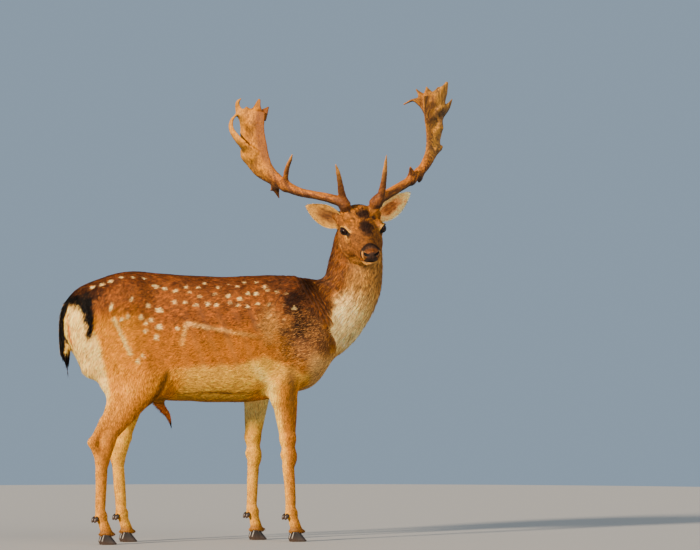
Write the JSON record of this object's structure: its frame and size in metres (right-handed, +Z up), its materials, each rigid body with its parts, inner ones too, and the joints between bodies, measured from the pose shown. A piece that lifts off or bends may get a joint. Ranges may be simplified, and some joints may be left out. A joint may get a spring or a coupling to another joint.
{
  "type": "fallow deer",
  "caption": "Grown fallow buck standing with its head turned to its right, with broad palmed antlers, a white-spotted summer coat and a short hanging tail.",
  "frame": {"origin": "on the floor, under the middle of the whole animal's bounding box, antlers included", "axes": "+X the way the body faces, +Y the animal's left, +Z up"},
  "size_m": [1.4002, 0.4744, 1.5405],
  "materials": {
    "coat": "short dense chestnut summer coat with white spots",
    "pale_coat": "very short pale tan coat of the lower legs",
    "ear": "thin ears, brown outside and pale buff inside",
    "tail": "long black hair above, white at the sides and below",
    "antler": "grooved brown bone, paler on the palms",
    "horn": "dark dull horn of the hooves",
    "eye": "wet, nearly black"
  },
  "bodies": {
    "root": {"antler_left_beam": "antler", "antler_left_brow_tine": "antler", "antler_left_palm": "antler", "antler_left_trez_tine": "antler", "antler_right_beam": "antler", "antler_right_brow_tine": "antler", "antler_right_palm": "antler", "antler_right_trez_tine": "antler", "ear_left": "ear", "ear_right": "ear", "eye_left": "eye", "eye_right": "eye", "fore_leg_left_dewclaw_inner": "horn", "fore_leg_left_dewclaw_outer": "horn", "fore_leg_left_hoof_inner": "horn", "fore_leg_left_hoof_outer": "horn", "fore_leg_left_lower": "pale_coat", "fore_leg_left_upper": "coat", "fore_leg_right_dewclaw_inner": "horn", "fore_leg_right_dewclaw_outer": "horn", "fore_leg_right_hoof_inner": "horn", "fore_leg_right_hoof_outer": "horn", "fore_leg_right_lower": "pale_coat", "fore_leg_right_upper": "coat", "head": "coat", "hind_leg_left_dewclaw_inner": "horn", "hind_leg_left_dewclaw_outer": "horn", "hind_leg_left_hoof_inner": "horn", "hind_leg_left_hoof_outer": "horn", "hind_leg_left_lower": "pale_coat", "hind_leg_left_upper": "coat", "hind_leg_right_dewclaw_inner": "horn", "hind_leg_right_dewclaw_outer": "horn", "hind_leg_right_hoof_inner": "horn", "hind_leg_right_hoof_outer": "horn", "hind_leg_right_lower": "pale_coat", "hind_leg_right_upper": "coat", "neck": "coat", "sheath": "coat", "tail": "tail", "trunk": "coat"}
  },
  "joints": []
}
